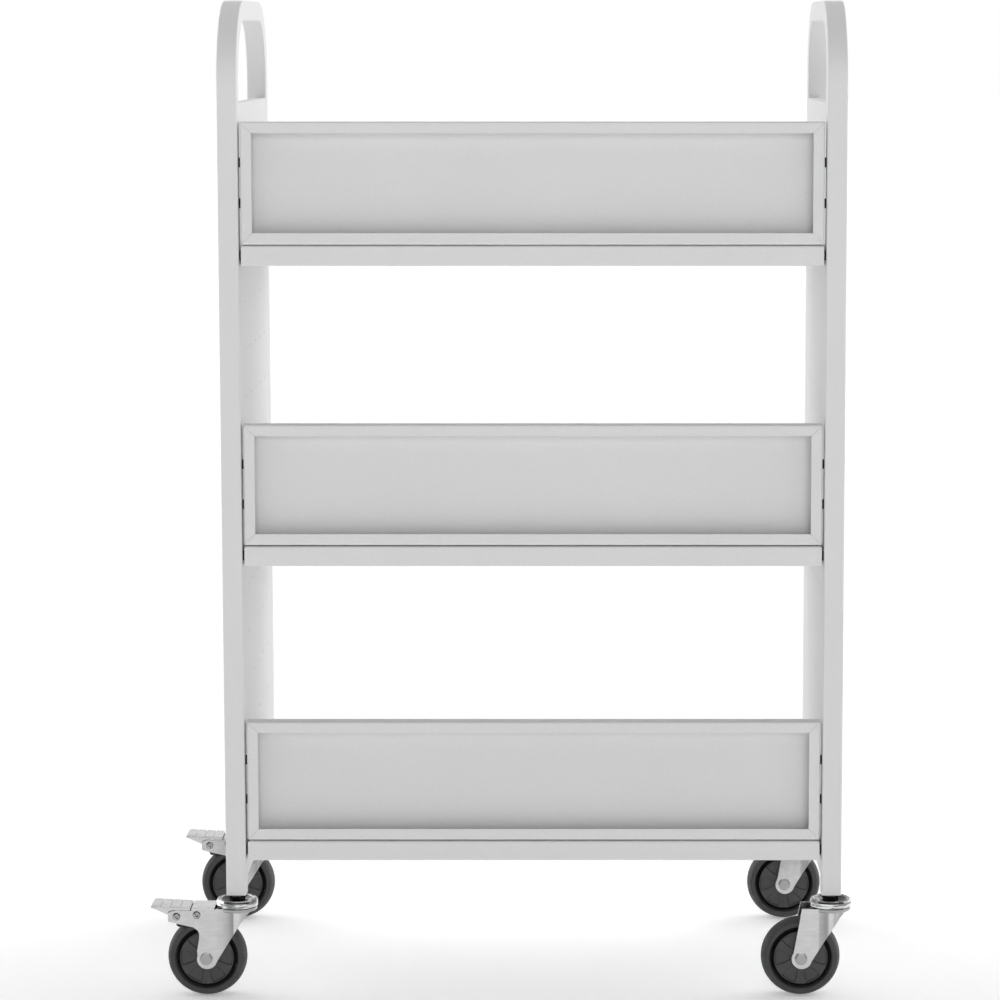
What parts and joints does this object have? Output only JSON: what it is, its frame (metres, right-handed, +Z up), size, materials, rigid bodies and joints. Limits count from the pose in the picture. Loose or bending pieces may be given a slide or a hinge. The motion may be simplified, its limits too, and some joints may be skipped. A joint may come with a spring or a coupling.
{
  "type": "book cart",
  "caption": "Single-sided library book cart: bent square-tube end frames with push handles, flat shelves with back panels, perforated sides, swivel casters with brakes.",
  "frame": {"origin": "on the floor, at the centre of the whole footprint, brake pedals and race rims included; the middle of the four posts is 40.5 mm to its right", "axes": "+Z up; -Y is the side with the back panels, +Y the open side the books go in from; X runs along the shelves, and the casters trail towards -X"},
  "size_m": [0.883, 0.4268, 1.25],
  "materials": {
    "powder_coat": "fine-textured light grey-white powder coat on sheet and tube steel",
    "zinc_plate": "bright zinc plate on pressed steel",
    "tyre_rubber": "dark grey rubber, dull",
    "hub_plastic": "dark grey moulded plastic, satin",
    "black_nylon": "black moulded nylon",
    "acetal": "natural off-white bearing plastic"
  },
  "bodies": {
    "cart_frame": {"left_arch_tube": "powder_coat", "right_arch_tube": "powder_coat", "left_side_panel": "powder_coat", "right_side_panel": "powder_coat", "bottom_shelf": "powder_coat", "middle_shelf": "powder_coat", "top_shelf": "powder_coat", "bottom_back_panel": "powder_coat", "middle_back_panel": "powder_coat", "top_back_panel": "powder_coat", "frame_bolts": "zinc_plate", "end_spacers": "black_nylon", "bolt_inserts": "zinc_plate", "stem_sockets": "black_nylon", "caster_stems": "zinc_plate", "upper_races": "zinc_plate", "stem_washers": "zinc_plate"},
    "rear_left_swivel": {"rear_left_fork": "zinc_plate", "rear_left_bearing_balls": "zinc_plate", "rear_left_axle_bolt": "zinc_plate", "rear_left_axle_nut": "zinc_plate", "rear_left_axle_sleeve": "zinc_plate", "rear_left_brake_rivets": "zinc_plate", "rear_left_brake_spring": "zinc_plate", "rear_left_brake_cover": "zinc_plate"},
    "rear_left_wheel": {"rear_left_tyre": "tyre_rubber", "rear_left_hub": "hub_plastic", "rear_left_bush": "acetal"},
    "rear_left_brake": {"rear_left_brake_pedal": "zinc_plate", "rear_left_brake_shoe": "black_nylon"},
    "front_left_swivel": {"front_left_fork": "zinc_plate", "front_left_bearing_balls": "zinc_plate", "front_left_axle_bolt": "zinc_plate", "front_left_axle_nut": "zinc_plate", "front_left_axle_sleeve": "zinc_plate", "front_left_brake_rivets": "zinc_plate", "front_left_brake_spring": "zinc_plate", "front_left_brake_cover": "zinc_plate"},
    "front_left_wheel": {"front_left_tyre": "tyre_rubber", "front_left_hub": "hub_plastic", "front_left_bush": "acetal"},
    "front_left_brake": {"front_left_brake_pedal": "zinc_plate", "front_left_brake_shoe": "black_nylon"},
    "rear_right_swivel": {"rear_right_fork": "zinc_plate", "rear_right_bearing_balls": "zinc_plate", "rear_right_axle_bolt": "zinc_plate", "rear_right_axle_nut": "zinc_plate", "rear_right_axle_sleeve": "zinc_plate"},
    "rear_right_wheel": {"rear_right_tyre": "tyre_rubber", "rear_right_hub": "hub_plastic", "rear_right_bush": "acetal"},
    "front_right_swivel": {"front_right_fork": "zinc_plate", "front_right_bearing_balls": "zinc_plate", "front_right_axle_bolt": "zinc_plate", "front_right_axle_nut": "zinc_plate", "front_right_axle_sleeve": "zinc_plate"},
    "front_right_wheel": {"front_right_tyre": "tyre_rubber", "front_right_hub": "hub_plastic", "front_right_bush": "acetal"}
  },
  "joints": [
    {"name": "rear_left_swivel_turn", "type": "hinge", "parent": "cart_frame", "child": "rear_left_swivel", "pos_m": [-0.3345, -0.1875, 0.112], "axis": [0, 0, 1], "continuous": true},
    {"name": "rear_left_wheel_spin", "type": "hinge", "parent": "rear_left_swivel", "child": "rear_left_wheel", "pos_m": [-0.3725, -0.1875, 0.05], "axis": [0, 1, 0], "continuous": true},
    {"name": "rear_left_brake_pedal_turn", "type": "hinge", "parent": "rear_left_swivel", "child": "rear_left_brake", "pos_m": [-0.4095, -0.1875, 0.1045], "axis": [0, -1, 0], "range_deg": [0, 20]},
    {"name": "front_left_swivel_turn", "type": "hinge", "parent": "cart_frame", "child": "front_left_swivel", "pos_m": [-0.3345, 0.1875, 0.112], "axis": [0, 0, 1], "continuous": true},
    {"name": "front_left_wheel_spin", "type": "hinge", "parent": "front_left_swivel", "child": "front_left_wheel", "pos_m": [-0.3725, 0.1875, 0.05], "axis": [0, 1, 0], "continuous": true},
    {"name": "front_left_brake_pedal_turn", "type": "hinge", "parent": "front_left_swivel", "child": "front_left_brake", "pos_m": [-0.4095, 0.1875, 0.1045], "axis": [0, -1, 0], "range_deg": [0, 20]},
    {"name": "rear_right_swivel_turn", "type": "hinge", "parent": "cart_frame", "child": "rear_right_swivel", "pos_m": [0.4155, -0.1875, 0.112], "axis": [0, 0, 1], "continuous": true},
    {"name": "rear_right_wheel_spin", "type": "hinge", "parent": "rear_right_swivel", "child": "rear_right_wheel", "pos_m": [0.3775, -0.1875, 0.05], "axis": [0, 1, 0], "continuous": true},
    {"name": "front_right_swivel_turn", "type": "hinge", "parent": "cart_frame", "child": "front_right_swivel", "pos_m": [0.4155, 0.1875, 0.112], "axis": [0, 0, 1], "continuous": true},
    {"name": "front_right_wheel_spin", "type": "hinge", "parent": "front_right_swivel", "child": "front_right_wheel", "pos_m": [0.3775, 0.1875, 0.05], "axis": [0, 1, 0], "continuous": true}
  ]
}
